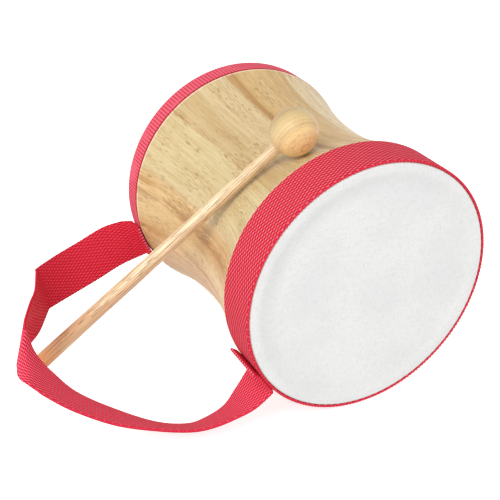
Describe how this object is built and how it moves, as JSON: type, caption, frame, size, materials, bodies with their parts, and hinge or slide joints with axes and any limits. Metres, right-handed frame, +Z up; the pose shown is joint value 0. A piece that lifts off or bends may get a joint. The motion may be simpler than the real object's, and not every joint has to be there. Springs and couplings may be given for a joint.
{
  "type": "hand drum",
  "caption": "Small waisted two-headed hand drum of glued wooden staves, with skins held by webbing bands, a webbing hand strap and a ball-headed wooden beater leaning on it.",
  "frame": {"origin": "on the table, under the middle of the whole part's bounding box", "axes": "+Z up; the drum's axis lies along Y with its playing head towards -Y; the strap lies towards -X"},
  "size_m": [0.2384, 0.1646, 0.1555],
  "materials": {
    "stave_wood": "satin lacquer",
    "beater_wood": "satin",
    "drum_skin": "matt, felt-like",
    "webbing": "woven"
  },
  "bodies": {
    "drum": {"stave_01": "stave_wood", "stave_02": "stave_wood", "stave_03": "stave_wood", "stave_04": "stave_wood", "stave_05": "stave_wood", "stave_06": "stave_wood", "stave_07": "stave_wood", "stave_08": "stave_wood", "stave_09": "stave_wood", "stave_10": "stave_wood", "stave_11": "stave_wood", "stave_12": "stave_wood", "front_skin": "drum_skin", "rear_skin": "drum_skin", "front_band": "webbing", "rear_band": "webbing", "strap_end_front": "webbing", "strap_end_rear": "webbing"},
    "strap": {"strap_loop": "webbing"},
    "beater": {"beater_stick": "beater_wood", "beater_ball": "beater_wood"}
  },
  "joints": [
    {"name": "strap_swing", "type": "hinge", "parent": "drum", "child": "strap", "pos_m": [-0.01552, 0.07184, 0.04136], "axis": [-0.0487, 0.9912, 0.1232], "range_deg": [0, 60]},
    {"name": "beater_lift", "type": "slide", "parent": "drum", "child": "beater", "axis": [0.6223, -0.3047, 0.721], "range_m": [0, 0.12]}
  ]
}
